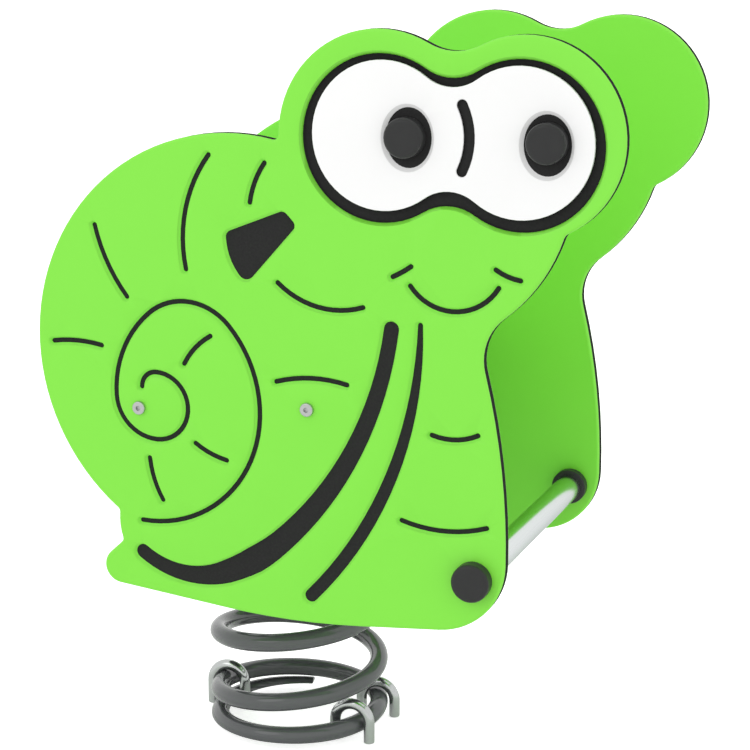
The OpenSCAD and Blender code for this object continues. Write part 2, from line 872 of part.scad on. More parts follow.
module seat_screws() {
    color("#c9cccb")
        seat_frame()
            at_seat_screws() {
                translate([0, 0, seat_under - rail_wall])
                    cylinder(d = seat_screw_d, h = sheet_t + rail_wall - seat_head_h);
                translate([0, 0, seat_under + sheet_t - seat_head_h])
                    screw_cone(0);
            }
}

module right_side_panel() { color("#90f156") side_panel(); }
module left_side_panel() { color("#90f156") mirror([0, 1, 0]) side_panel(); }
module right_eye_plate() { color("#ffffff") eye_plate(); }
module left_eye_plate() { color("#ffffff") mirror([0, 1, 0]) eye_plate(); }

module handle_bar() { color("#d7dcda") cross_tube(handle_x, handle_z, bar_d, bar_wall); }
module foot_bar() { color("#d7dcda") cross_tube(foot_x, foot_z, bar_d, bar_wall); }

module right_handle_collar() { color("#323232") collar(handle_x, handle_z); }
module left_handle_collar() { color("#323232") mirror([0, 1, 0]) collar(handle_x, handle_z); }
module right_foot_collar() { color("#323232") collar(foot_x, foot_z); }
module left_foot_collar() { color("#323232") mirror([0, 1, 0]) collar(foot_x, foot_z); }

module right_handle_cap() { color("#404141") cap(handle_x, handle_z, pupil_floor_y); }
module left_handle_cap() { color("#404141") mirror([0, 1, 0]) cap(handle_x, handle_z, pupil_floor_y); }
module right_foot_cap() { color("#404141") cap(foot_x, foot_z, face_y); }
module left_foot_cap() { color("#404141") mirror([0, 1, 0]) cap(foot_x, foot_z, face_y); }
module right_eye_cap() { color("#404141") cap(eye_cap_x, eye_cap_z, pupil_floor_y); }
module left_eye_cap() { color("#404141") mirror([0, 1, 0]) cap(eye_cap_x, eye_cap_z, pupil_floor_y); }

module cap_bases() {
    bolt_hole = bar_bolt_d / 2 + fit_clear;
    color("#323232")
        both_sides() {
            cap_base(handle_x, handle_z, pupil_floor_y, bolt_hole);
            cap_base(foot_x, foot_z, face_y, bolt_hole);
            cap_base(eye_cap_x, eye_cap_z, pupil_floor_y, eye_screw_d / 2 + fit_clear);
        }
}

module bar_plugs() {
    bore = bar_d - 2 * bar_wall;
    color("#8d9192")
        both_sides() {
            tube_plug(handle_x, handle_z, bore, bar_bolt_d, bar_plug_l);
            tube_plug(foot_x, foot_z, bore, bar_bolt_d, bar_plug_l);
        }
}

// Bolt into a bar's plug, through a cap base at distance seat from the middle plane
module bar_bolt(x, z, seat) {
    side_screw(x, z, seat + base_t, bar_bolt_d, bar_bolt_l, bar_bolt_head_d, bolt_head_h);
}

module bar_bolts() {
    color("#c9cccb")
        both_sides() {
            bar_bolt(handle_x, handle_z, pupil_floor_y);
            bar_bolt(foot_x, foot_z, face_y);
        }
}

module eye_cap_screws() {
    color("#c9cccb")
        both_sides()
            side_screw(eye_cap_x, eye_cap_z, pupil_floor_y + base_t, eye_screw_d, eye_screw_l,
                2 * eye_screw_d, bolt_head_h - cap_crown);
}

main_spring();
lower_clamp_front_right();
lower_clamp_front_left();
lower_clamp_rear();
upper_clamp_rear();
upper_clamp_front();
upper_clamp_side();
upper_clamp_washers();
upper_clamp_nuts();
top_plate();
rear_rail_saddles();
front_rail_saddles();
rear_seat_rail();
front_seat_rail();
rail_plugs();
panel_bolts();
seat_board();
seat_screws();
right_side_panel();
left_side_panel();
right_eye_plate();
left_eye_plate();
handle_bar();
foot_bar();
right_handle_collar();
left_handle_collar();
right_foot_collar();
left_foot_collar();
right_handle_cap();
left_handle_cap();
right_foot_cap();
left_foot_cap();
right_eye_cap();
left_eye_cap();
cap_bases();
bar_plugs();
bar_bolts();
eye_cap_screws();
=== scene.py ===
"""Looks of a snail spring rider: routed sheet panels, seat, polished bars, painted spring and its clamps."""

import math
from collections import namedtuple
from contextlib import contextmanager

import bmesh
import bpy
from bpy.props import FloatProperty, FloatVectorProperty, IntProperty, PointerProperty
from bpy.types import Operator, Panel, PropertyGroup
from mathutils import Matrix, Vector


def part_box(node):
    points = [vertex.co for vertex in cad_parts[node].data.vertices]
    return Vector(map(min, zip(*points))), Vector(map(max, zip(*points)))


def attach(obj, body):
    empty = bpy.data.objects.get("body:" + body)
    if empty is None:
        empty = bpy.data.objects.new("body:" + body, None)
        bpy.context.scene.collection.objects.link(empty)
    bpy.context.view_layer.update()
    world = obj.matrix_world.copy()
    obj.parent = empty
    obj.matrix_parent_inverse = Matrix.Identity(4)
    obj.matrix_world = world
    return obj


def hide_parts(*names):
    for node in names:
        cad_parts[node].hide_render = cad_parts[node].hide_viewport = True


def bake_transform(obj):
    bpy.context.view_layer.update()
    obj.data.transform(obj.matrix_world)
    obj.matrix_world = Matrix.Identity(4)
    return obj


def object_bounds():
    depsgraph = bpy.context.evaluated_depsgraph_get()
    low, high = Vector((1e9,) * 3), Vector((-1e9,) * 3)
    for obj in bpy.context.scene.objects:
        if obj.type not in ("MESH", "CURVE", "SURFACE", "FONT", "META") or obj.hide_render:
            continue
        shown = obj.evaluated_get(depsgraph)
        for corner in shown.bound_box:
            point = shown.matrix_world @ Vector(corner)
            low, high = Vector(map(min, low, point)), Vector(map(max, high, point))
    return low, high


bl_info = {
    "name": "Snail Spring Rider",
    "version": (1, 0, 0),
    "blender": (4, 5, 0),
    "location": "View3D > Sidebar > Snail Rider",
    "description": "Dresses a snail spring rider with its finished pieces",
    "category": "Object",
}

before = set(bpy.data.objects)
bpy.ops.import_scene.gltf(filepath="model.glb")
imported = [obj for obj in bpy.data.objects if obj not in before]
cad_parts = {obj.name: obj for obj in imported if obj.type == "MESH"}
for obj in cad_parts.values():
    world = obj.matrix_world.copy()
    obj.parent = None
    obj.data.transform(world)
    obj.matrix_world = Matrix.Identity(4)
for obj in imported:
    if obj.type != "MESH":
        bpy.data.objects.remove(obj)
CAD_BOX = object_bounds()

RIDER = "rider"
GROUND = "ground_mount"
SPRING = "spring"
SIDES = ("right", "left")
X_AXIS = Vector((1, 0, 0))
Y_AXIS = Vector((0, 1, 0))
Z_AXIS = Vector((0, 0, 1))

# Points closer than this are one point, and levels closer than this are one level
WELD = 1e-5
# Least upright part of a level face's normal
FLAT_FACE = 0.99
# Degrees between two faces from which a solid's edge is broken
SHARP_EDGE = 40
# Layers of a sheet, in the order of its materials
SKIN = 0
CORE = 1
# The cut layer is the sloped cut through the skin, coloured as the skin darkened by painted shade
CUT = 2
# The sloped cuts of the sheet take a darker copy of the skin's colour: painted shade in these recesses
CUT_PAINTED_SHADE = 0.82
# Corners round a tube or cap, a bolt, its socket and a clamp's rod
ROUND_SIDES = 96
BOLT_SIDES = 48
SOCKET_SIDES = 6
ROD_SIDES = 32
# Steps along a clamp's arch
ARCH_STEPS = 40
# Steps round the edges of sheets, caps and bolt heads, of tubes and clamp legs, and of the cut wire
EDGE_STEPS = 6
RIM_STEPS = 4
CUT_STEPS = 3

Settings = namedtuple("Settings", "sheet spring fittings stage")
Mark = namedtuple("Mark", "width depth")
Slope = namedtuple("Slope", "width depth layer")


def length(name, description, default):
    """Property that holds a size in metres."""
    return FloatProperty(
        name=name, description=description, default=default, precision=5, subtype="DISTANCE", unit="LENGTH"
    )


def amount(name, description, default, unit="NONE"):
    """Property that holds a share, a strength, degrees, or a number in another unit."""
    return FloatProperty(name=name, description=description, default=default, unit=unit)


def location(name, description, default):
    """Property that holds a place in metres."""
    return FloatVectorProperty(
        name=name, description=description, default=default, subtype="XYZ", unit="LENGTH"
    )


def colour(name, description, default):
    """Property that holds a linear colour."""
    return FloatVectorProperty(
        name=name, description=description, default=default, size=3, min=0, max=1, subtype="COLOR"
    )


class SnailSheetSettings(PropertyGroup):
    """Sizes and colours of the three-layer sheet."""

    skin: length("Skin", "Thickness of each coloured layer", 0.003)
    edge_round: length("Edge round", "Radius of the rounded outer edges", 0.003)
    plate_round: length("Eye plate round", "Radius of the eye plate's edge", 0.0006)
    slope_depth: length("Slope depth", "Depth of the sloped edge of a routed mark", 0.004)
    mark_slope: length("Mark slope", "Width of the sloped edge beside a routed mark", 0.0022)
    pocket_slope: length("Pocket slope", "Width of the sloped edge round the eye pocket", 0.0028)
    pupil_slope: length("Pupil slope", "Width of the sloped edge round a pupil", 0.0036)
    green: colour("Green", "Skin of the panels and the seat", (0.242, 0.842, 0.056))
    white: colour("White", "Skin of the eye plates", (0.985, 0.985, 0.98))
    core: colour("Core", "Dark middle layer of the sheet", (0.031, 0.031, 0.031))


class SnailSpringSettings(PropertyGroup):
    """Sizes and paint of the coil spring."""

    wire: length("Wire", "Wire diameter", 0.02)
    coil: length("Coil", "Radius of the wire's middle line", 0.09)
    low: length("Low", "Height of the wire's middle at its lower end", 0.0124)
    rise: length("Rise", "Climb of the wire from its lower to its upper end", 0.3536)
    foot: length("Foot", "Height at which the lowest turn is ground flat", 0.0175)
    end_pitch: length("End pitch", "Climb of each closed end turn", 0.022)
    start: amount("Start", "Bearing of the lower end in degrees", 102)
    turn: amount("Turn", "Degrees from the lower to the upper end", 2406)
    end_turn: amount("End turn", "Degrees of each closed end", 405)
    ease: amount("Ease", "Half the degrees over which the pitch changes", 60)
    hold_turn: amount("Hold turn", "Degrees from an end to its highest clamp", 438)
    end_round: length("End round", "Radius at the edge of a cut end", 0.0012)
    rings: IntProperty(name="Rings", description="Rings of the mesh in one turn", default=96)
    sides: IntProperty(name="Sides", description="Sides of the wire's mesh", default=24)
    paint: colour("Paint", "Grey paint of the spring", (0.098, 0.102, 0.106))


class SnailFittingSettings(PropertyGroup):
    """Sizes and colours of the bars, caps, clamps, seat frame and fasteners."""

    cap_round: length("Cap round", "Radius of an end cap's rim", 0.0045)
    cap_wall: length("Cap wall", "Wall of an end cap round its hollow", 0.0024)
    cap_crown: length("Cap crown", "Thickness of an end cap's face", 0.0025)
    collar_round: length("Collar round", "Radius of a collar's rim", 0.0015)
    collar_gap: length("Collar gap", "Room between a collar and its bar", 0.0001)
    bar_wall: length("Bar wall", "Wall of the handle bar and the foot bar", 0.0026)
    bar_round: length("Bar round", "Radius at the ends of a bar", 0.0004)
    rod: length("Rod", "Rod diameter of the clamps", 0.012)
    rod_round: length("Rod round", "Radius at the ends of a clamp's legs", 0.0015)
    nut_edge: length("Nut edge", "Width of a nut's broken edges", 0.0006)
    frame_edge: length("Frame edge", "Width of the broken edges of the top plate and the saddles", 0.0008)
    bolt_head: length("Bolt head", "Diameter of a panel bolt's head", 0.014)
    bolt_height: length("Bolt height", "Height of a panel bolt's head", 0.004)
    bolt_round: amount("Bolt round", "Radius of a bolt's rim as a share of its head's height", 0.35)
    bolt_shank: length("Bolt shank", "Thread diameter of a panel bolt", 0.008)
    bolt_reach: length("Bolt reach", "Length of a panel bolt below its head", 0.035)
    bolt_chamfer: length("Bolt chamfer", "Width of the chamfer at a panel bolt's end", 0.001)
    bolt_socket: length("Bolt socket", "Width across the flats of a panel bolt's socket", 0.005)
    socket_depth: amount("Socket depth", "Depth of a bolt's socket as a share of its head's height", 0.6)
    plastic: colour("Plastic", "Black moulded plastic", (0.032, 0.0325, 0.0325))
    steel: colour("Steel", "Polished bar steel", (0.86, 0.89, 0.885))
    zinc: colour("Zinc", "Galvanised rod", (0.55, 0.57, 0.56))
    plating: colour("Plating", "Plated fasteners", (0.52, 0.53, 0.525))
    frame_paint: colour("Frame paint", "Grey paint of the seat frame", (0.085, 0.092, 0.095))


class SnailStageSettings(PropertyGroup):
    """Camera, light and floor."""

    camera_at: location("Camera", "Place of the camera", (0.8513, -2.0376, 0.9151))
    camera_turn: FloatVectorProperty(
        name="Camera turn",
        description="Rotation of the camera",
        default=(math.radians(77.06), 0, math.radians(20.46)),
        subtype="EULER",
    )
    lens: amount("Lens", "Focal length in millimetres", 99.26, "CAMERA")
    sensor: amount("Sensor", "Width of the camera's sensor in millimetres", 36, "CAMERA")
    floor: length("Floor", "Side of the square floor", 80)
    floor_tone: amount("Floor tone", "Grey of the floor", 0.9)
    floor_white: amount("Floor white", "Brightness of the lit floor in the picture", 1.62)
    world: amount("World", "Strength of the even light all round", 1.0)
    lamp_at: location("Lamp", "Place of the large lamp at the front", (-1.6, -3.2, 2.6))
    lamp_size: length("Lamp size", "Diameter of the large lamp", 2.4)
    lamp_power: amount("Lamp power", "Power of the large lamp in watts", 12, "POWER")


def settings():
    """The four groups of settings."""
    scene = bpy.context.scene
    return Settings(scene.snail_sheet, scene.snail_spring, scene.snail_fittings, scene.snail_stage)


class Value:
    """Output of a shader node that takes part in Python sums and products."""

    def __init__(self, graph, socket):
        self.graph = graph
        self.socket = socket

    def math(self, operation, first, second):
        """Math node on two values."""
        return self.graph.node("ShaderNodeMath", {"operation": operation}, {0: first, 1: second})

    def or_above(self, other):
        """The larger of two values."""
        return self.math("MAXIMUM", self, other)

    def __add__(self, other):
        return self.math("ADD", self, other)

    def __radd__(self, other):
        return self.math("ADD", other, self)

    def __mul__(self, other):
        return self.math("MULTIPLY", self, other)

    def __rmul__(self, other):
        return self.math("MULTIPLY", other, self)


class Graph:
    """Node tree whose new nodes all come from one method."""

    def __init__(self, owner, surface):
        owner.use_nodes = True
        self.tree = owner.node_tree
        self.surface = self.tree.nodes[surface]

    def node(self, kind, setup=None, inputs=None, output=0):
        """New node with its settings and inputs, as the value of one of its outputs."""
        made = self.tree.nodes.new(kind)
        for name, setting in (setup or {}).items():
            setattr(made, name, setting)
        for key, given in (inputs or {}).items():
            self.feed(made.inputs[key], given)
        return Value(self, made.outputs[output])

    def feed(self, socket, given):
        """Link or set one input."""
        if isinstance(given, Value):
            self.tree.links.new(given.socket, socket)
        else:
            socket.default_value = given

    def set(self, socket, given):
        """Link or set one input of the surface."""
        self.feed(self.surface.inputs[socket], given)

    def ray(self, kind):
        """One for rays of a kind, and otherwise zero."""
        return self.node("ShaderNodeLightPath", output=f"Is {kind} Ray")

    def seen(self):
        """One for the rays that show the background, and otherwise zero."""
        return self.ray("Camera").or_above(self.ray("Glossy")).or_above(self.ray("Transmission"))


class Shader(Graph):
    """Material in the making."""

    def __init__(self, name, **constants):
        self.material = bpy.data.materials.new(name)
        super().__init__(self.material, "Principled BSDF")
        for socket, number in constants.items():
            self.set(socket.replace("_", " "), number)

    def place(self, stretch=(1, 1, 1)):
        """Place on the piece, in metres, stretched along its axes."""
        at = self.node("ShaderNodeTexCoord", output="Object")
        return self.node("ShaderNodeMapping", {}, {"Vector": at, "Scale": stretch})

    def noise(self, at, scale, detail, rough=0.5):
        """Noise from 0 to 1."""
        inputs = {"Vector": at, "Scale": scale, "Detail": detail, "Roughness": rough}
        return self.node("ShaderNodeTexNoise", {}, inputs)

    def cells(self, at, scale):
        """Random grey of each cell of a Voronoi pattern."""
        colours = self.node("ShaderNodeTexVoronoi", {}, {"Vector": at, "Scale": scale}, "Color")
        return self.node("ShaderNodeSeparateColor", {}, {"Color": colours})

    def tint(self, tone, dark, light, pattern):
        """Base colour that follows a pattern between a darker and a lighter shade of a tone."""
        shades = {6: (*shade(tone, dark), 1), 7: (*shade(tone, light), 1), 0: pattern}
        self.set("Base Color", self.node("ShaderNodeMix", {"data_type": "RGBA"}, shades, 2))

    def bump(self, height, strength, distance):
        """Fine relief on the surface."""
        inputs = {"Height": height, "Strength": strength, "Distance": distance}
        self.set("Normal", self.node("ShaderNodeBump", {}, inputs))


def shade(tone, factor):
    """Colour made darker or lighter by a factor."""
    return tuple(min(1.0, part * factor) for part in tone)


def sheet_skin(name, tone):
    """Coloured skin of the sheet, with a fine pebble grain and faint clouds in its colour."""
    shader = Shader(name, IOR=1.5)
    at = shader.place()
    grain = shader.noise(at, scale=900, detail=3)
    cloud = shader.noise(at, scale=9, detail=3)
    shader.tint(tone, dark=0.97, light=1.02, pattern=0.7 * cloud + 0.3 * grain)
    shader.set("Roughness", 0.42 + 0.14 * grain)
    shader.bump(grain, strength=0.3, distance=0.00012)
    return shader.material


def sheet_core(tone):
    """Dark core of the sheet, with the fine marks of the cutter."""
    shader = Shader("sheet_core", Specular_IOR_Level=0)
    marks = shader.noise(shader.place(), scale=420, detail=4, rough=0.6)
    shader.tint(tone, dark=0.8, light=1.3, pattern=marks)
    shader.set("Roughness", 0.5 + 0.15 * marks)
    shader.bump(marks, strength=0.35, distance=0.0002)
    return shader.material


def gloss_paint(name, tone, roughness, coat):
    """Sprayed and baked paint with a slight orange peel."""
    shader = Shader(name, IOR=1.5, Coat_Weight=coat, Coat_Roughness=0.06)
    at = shader.place()
    peel = shader.noise(at, scale=260, detail=2)
    speck = shader.noise(at, scale=1500, detail=1)
    shader.tint(tone, dark=0.92, light=1.08, pattern=speck)
    shader.set("Roughness", roughness + 0.08 * peel)
    shader.bump(peel, strength=0.12, distance=0.00012)
    return shader.material


def galvanised(tone):
    """Zinc coat with a faint spangle."""
    shader = Shader("galvanised", Metallic=1.0)
    at = shader.place()
    spangle = shader.cells(at, scale=420)
    cloud = shader.noise(at, scale=60, detail=3)
    shader.tint(tone, dark=0.95, light=1.05, pattern=0.5 * spangle + 0.5 * cloud)
    shader.set("Roughness", 0.13 + 0.03 * spangle + 0.03 * cloud)
    shader.bump(cloud, strength=0.05, distance=0.0001)
    return shader.material


def polished_steel(tone):
    """Polished tube with fine lines along it."""
    shader = Shader("bar_steel", Metallic=1.0, Specular_Tint=(0.65, 0.67, 0.67, 1))
    lines = shader.noise(shader.place(stretch=(1, 0.02, 1)), scale=1400, detail=2)
    smear = shader.noise(shader.place(), scale=30, detail=3)
    shader.tint(tone, dark=0.96, light=1.03, pattern=lines)
    shader.set("Roughness", 0.13 + 0.07 * lines + 0.05 * smear)
    shader.bump(lines, strength=0.06, distance=0.00006)
    return shader.material


def black_plastic(tone):
    """Moulded plastic with a satin skin."""
    shader = Shader("black_plastic", IOR=1.5, Specular_IOR_Level=0.2)
    at = shader.place()
    grain = shader.noise(at, scale=1600, detail=2)
    scuff = shader.noise(at, scale=90, detail=4)
    shader.tint(tone, dark=0.85, light=1.25, pattern=0.5 * scuff + 0.5 * grain)
    shader.set("Roughness", 0.24 + 0.1 * grain + 0.06 * scuff)
    shader.bump(grain, strength=0.12, distance=0.00006)
    return shader.material


def plated_steel(tone):
    """Bright plating of the fasteners."""
    shader = Shader("fastener_steel", Metallic=1.0)
    dull = shader.noise(shader.place(), scale=300, detail=4)
    shader.tint(tone, dark=0.9, light=1.1, pattern=dull)
    shader.set("Roughness", 0.34 + 0.2 * dull)
    shader.bump(dull, strength=0.1, distance=0.0001)
    return shader.material


FINISHES = {}


def finish_of(slot):
    """Material of a finish, made once."""
    sheet, spring, fittings, _ = settings()
    makers = {
        "sheet_green": lambda: sheet_skin("sheet_green", sheet.green),
        "sheet_white": lambda: sheet_skin("sheet_white", sheet.white),
        # The cut finishes are the skins darkened as painted shade for the sloped cuts in the recesses
        "sheet_green_cut": lambda: sheet_skin("sheet_green_cut", shade(sheet.green, CUT_PAINTED_SHADE)),
        "sheet_white_cut": lambda: sheet_skin("sheet_white_cut", shade(sheet.white, CUT_PAINTED_SHADE)),
        "sheet_core": lambda: sheet_core(sheet.core),
        "spring_paint": lambda: gloss_paint("spring_paint", spring.paint, roughness=0.07, coat=0.25),
        "frame_paint": lambda: gloss_paint("frame_paint", fittings.frame_paint, roughness=0.34, coat=0.0),
        "galvanised": lambda: galvanised(fittings.zinc),
        "bar_steel": lambda: polished_steel(fittings.steel),
        "black_plastic": lambda: black_plastic(fittings.plastic),
        "fastener_steel": lambda: plated_steel(fittings.plating),
    }
    if slot not in FINISHES:
        FINISHES[slot] = makers[slot]()
    return FINISHES[slot]


def select_only(piece):
    """Object mode with one object selected and active."""
    if bpy.context.object and bpy.context.object.mode != "OBJECT":
        bpy.ops.object.mode_set(mode="OBJECT")
    bpy.ops.object.select_all(action="DESELECT")
    piece.select_set(True)
    bpy.context.view_layer.objects.active = piece


def add_object(add, **values):
    """New object from an operator that adds one, with nothing else selected."""
    bpy.ops.object.select_all(action="DESELECT")
    add(**values)
    return bpy.context.object


def mesh_object(name, mesh):
    """New object that holds a mesh."""
    piece = bpy.data.objects.new(name, mesh)
    bpy.context.collection.objects.link(piece)
    return piece


def copy_of(pattern):
    """Copy of a piece, with a mesh of its own."""
    return mesh_object(pattern.name, pattern.data.copy())


@contextmanager
def editing(piece):
    """Edit mode on one piece."""
    select_only(piece)
    bpy.ops.object.mode_set(mode="EDIT")
    yield
    bpy.ops.object.mode_set(mode="OBJECT")


def pick(kind, test):
    """Select what passes a test in the mesh that is being edited."""
    bpy.ops.mesh.select_mode(type=kind)
    bpy.ops.mesh.select_all(action="DESELECT")
    mesh = bpy.context.object.data
    shape = bmesh.from_edit_mesh(mesh)
    parts = {"EDGE": shape.edges, "FACE": shape.faces}[kind]
    found = [part for part in parts if test(part)]
    if not found:
        raise RuntimeError(f"{bpy.context.object.name}: nothing to select")
    for part in found:
        part.select_set(True)
    bmesh.update_edit_mesh(mesh)


def level_at(height):
    """Test for edges or faces that lie level at a height."""
    return lambda part: all(abs(v.co.z - height) < WELD for v in part.verts)


def end_face(face):
    """Whether a face is the many-sided end of a round piece."""
    return len(face.verts) > 4


def round_edges(test, radius, steps):
    """Round the edges that pass a test in the mesh that is being edited."""
    pick("EDGE", test)
    bpy.ops.mesh.bevel(offset=radius, segments=steps, profile=0.5)


def extrude(height):
    """Pull the selected face up, or push it down where the height is negative."""
    bpy.ops.mesh.extrude_region_move(TRANSFORM_OT_translate={"value": (0, 0, height)})


def apply_modifier(piece, kind, **values):
    """Add a modifier and apply it."""
    select_only(piece)
    modifier = piece.modifiers.new(kind.title(), kind)
    for name, value in values.items():
        setattr(modifier, name, value)
    bpy.ops.object.modifier_apply(modifier=modifier.name)


def smooth(piece, degrees=35):
    """Smooth shading that keeps flat faces flat."""
    select_only(piece)
    bpy.ops.object.shade_smooth_by_angle(angle=math.radians(degrees))
    apply_modifier(piece, "WEIGHTED_NORMAL", keep_sharp=True, mode="FACE_AREA")


def outward(piece):
    """Closed seams, with all faces pointing outwards."""
    with editing(piece):
        bpy.ops.mesh.select_all(action="SELECT")
        bpy.ops.mesh.remove_doubles(threshold=WELD)
        bpy.ops.mesh.normals_make_consistent(inside=False)


def place_piece(piece, matrix):
    """Move a piece to its place, which then is in its mesh."""
    piece.matrix_world = matrix
    select_only(piece)
    bpy.ops.object.transform_apply(location=True, rotation=True, scale=True)


def hand_over(piece, name, slot, *nodes, body=RIDER):
    """Name a finished piece, give it its finish and let it stand for its solids."""
    piece.name = name
    piece.data.name = name
    if not piece.data.materials:
        piece.data.materials.append(finish_of(slot))
    if body:
        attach(piece, body)
    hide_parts(*nodes)


def dress(node, slot, edge=0.0):
    """Finish on a solid that keeps its shape, with its sharp edges broken where a width is given."""
    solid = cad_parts[node]
    solid.data.materials.clear()
    solid.data.materials.append(finish_of(slot))
    if edge:
        weld = solid.modifiers.new("Weld", "WELD")
        weld.merge_threshold = WELD
        bevel = solid.modifiers.new("Bevel", "BEVEL")
        bevel.width = edge
        bevel.segments = 2
        bevel.limit_method = "ANGLE"
        bevel.angle_limit = math.radians(SHARP_EDGE)
        bevel.harden_normals = True


def middle(node):
    """Middle of a node's box."""
    low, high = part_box(node)
    return (low + high) / 2


def extent(node):
    """Sizes of a node's box."""
    low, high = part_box(node)
    return high - low


def across(node, side):
    """Matrix that lays an upright piece along a node's box from end to end, its top towards a side."""
    low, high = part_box(node)
    to_right = side == "right"
    at = middle(node)
    at.y = high.y if to_right else low.y
    return Matrix.Translation(at) @ Matrix.Rotation(math.radians(90 if to_right else -90), 4, "X")


def flat_frame(node, along, up):
    """Matrix from the rider's frame to a sheet's own: along, up, and out of its face, which lies at zero."""
    out = along.cross(up)
    turn = Matrix((along, up, out)).to_4x4()
    face = max((turn @ v.co).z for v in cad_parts[node].data.vertices)
    return Matrix.Translation((0, 0, -face)) @ turn


def face_loops(shape):
    """Parts of a sheet's face, and the vertex loops round it, each with the face on its left."""
    level = level_at(0)
    face = {f for f in shape.faces if f.normal.z > FLAT_FACE and level(f)}
    follow = {}
    for part in face:
        for corner in part.loops:
            if sum(f in face for f in corner.edge.link_faces) == 1:
                follow[corner.vert] = corner.link_loop_next.vert
    loops = []
    while follow:
        loop = []
        vertex = next(iter(follow))
        while vertex in follow:
            loop.append(vertex)
            vertex = follow.pop(vertex)
        loops.append(loop)
    return face, loops


def inset_loop(points, distance):
    """Points of a loop moved to its left in its own plane."""
    moved = []
    for i, here in enumerate(points):
        came = (here - points[i - 1]).normalized()
        goes = (points[(i + 1) % len(points)] - here).normalized()
        left = Vector((-came.y - goes.y, came.x + goes.x)) / (1 + came.dot(goes))
        moved.append(here + distance * left)
    return moved


def add_bands(shape, points, profile):
    """Bands of faces along a loop.

    The profile lists how far inside the loop each edge lies, how deep, and the layer of the band below it.
    """
    rings = []
    for inside, depth, _ in profile:
        rings.append([shape.verts.new((p.x, p.y, -depth)) for p in inset_loop(points, inside)])
    count = len(points)
    for (upper, lower), (_, _, layer) in zip(zip(rings, rings[1:]), profile):
        for i in range(count):
            j = (i + 1) % count
            band = shape.faces.new((upper[i], lower[i], lower[j], upper[j]))
            band.material_index = layer


def quarter(radius):
    """Profile of a rounded edge, from the face down to its side."""
    turns = [math.pi / 2 * k / EDGE_STEPS for k in range(EDGE_STEPS + 1)]
    return [(radius * (1 - math.sin(a)), radius * (1 - math.cos(a)), SKIN) for a in turns]


def outline_profile(thick, skin, front, back):
    """Profile of a sheet's outer edge: skin, core, and skin again where the back is rounded too."""
    profile = quarter(front)
    if skin - front > WELD:
        profile.append((0, skin, CORE))
    else:
        profile[-1] = (0, front, CORE)
    if back:
        profile += [(inside, thick - depth, layer) for inside, depth, layer in reversed(quarter(back))]
    else:
        profile.append((0, thick, CORE))
    return profile


def mark_profile(depth, slope):
    """Profile of a routed edge: a sloped cut through the skin, and the core below it."""
    profile = [(slope.width, 0, slope.layer), (0, slope.depth, CORE)]
    if depth - slope.depth > WELD:
        profile.append((0, depth, CORE))
    return profile


def shape_sheet(shape, skin, front, back, slope_of):
    """Round the edges of a plain sheet solid, slope its routed marks, and give its thickness."""
    bmesh.ops.remove_doubles(shape, verts=shape.verts, dist=WELD)
    thick = -min(v.co.z for v in shape.verts)
    for part in shape.faces:
        part.material_index = CORE
    face, loops = face_loops(shape)
    outline = max(loops, key=lambda loop: sum((a.co - b.co).length for a, b in zip(loop, loop[1:])))
    gone = face | set(filter(level_at(-thick), shape.faces))
    bands = []
    for loop in loops:
        walls = {f for v in loop for f in v.link_faces} - face
        depth = -min(v.co.z for f in walls for v in f.verts)
        points = [v.co.to_2d() for v in loop]
        straight = all(abs(f.normal.z) < 1 - FLAT_FACE for f in walls)
        if loop is outline:
            bands.append((points, outline_profile(thick, skin, front, back)))
            gone |= walls
        elif straight and thick - depth > WELD:
            width = max(p.x for p in points) - min(p.x for p in points)
            bands.append((points, mark_profile(depth, slope_of(Mark(width, depth)))))
            gone |= walls
    bmesh.ops.delete(shape, geom=list(gone), context="FACES")
    for points, profile in bands:
        add_bands(shape, points, profile)
    bmesh.ops.remove_doubles(shape, verts=shape.verts, dist=WELD)
    return thick


def fill_flat(height):
    """Close the open flat face at a height of the sheet that is being edited."""
    level = level_at(height)
    pick("EDGE", lambda edge: level(edge) and len(edge.link_faces) == 1)
    bpy.ops.mesh.fill(use_beauty=True)
    shape = bmesh.from_edit_mesh(bpy.context.object.data)
    for part in shape.faces:
        if part.select:
            part.material_index = SKIN


def sheet_piece(name, node, along, up, slot, front, back, slope_of):
    """Finished sheet in place of its plain solid."""
    to_flat = flat_frame(node, along, up)
    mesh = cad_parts[node].data.copy()
    mesh.transform(to_flat)
    mesh.materials.clear()
    piece = mesh_object(name, mesh)
    shape = bmesh.new()
    shape.from_mesh(mesh)
    thick = shape_sheet(shape, settings().sheet.skin, front, back, slope_of)
    shape.to_mesh(mesh)
    shape.free()
    with editing(piece):
        fill_flat(0)
        fill_flat(-thick)
    # The third material is the skin with painted shade, for the sloped cuts
    for layer in (slot, "sheet_core", f"{slot}_cut"):
        mesh.materials.append(finish_of(layer))
    place_piece(piece, to_flat.inverted())
    outward(piece)
    smooth(piece)
    hand_over(piece, name, slot, node)


def panel_slope(mark):
    """Sloped edge of a panel's mark: the eye pocket is deeper than the lines."""
    sheet = settings().sheet
    if mark.depth > sheet.slope_depth + WELD:
        # The eye pocket's sloped edge takes the cut's painted shade, and the lines' slopes keep the plain
        # skin
        return Slope(sheet.pocket_slope, sheet.slope_depth, CUT)
    return Slope(sheet.mark_slope, sheet.slope_depth, SKIN)


def eye_plate_slope(mark):
    """Sloped edge of an eye plate's mark: a pupil is wider than the cap in it."""
    sheet = settings().sheet
    # The pupils' sloped edges and the narrow marks' edges take the cut's painted shade
    if mark.width > extent("right_eye_cap").x:
        return Slope(sheet.pupil_slope, sheet.slope_depth, CUT)
    return Slope(sheet.plate_round, sheet.plate_round, CUT)


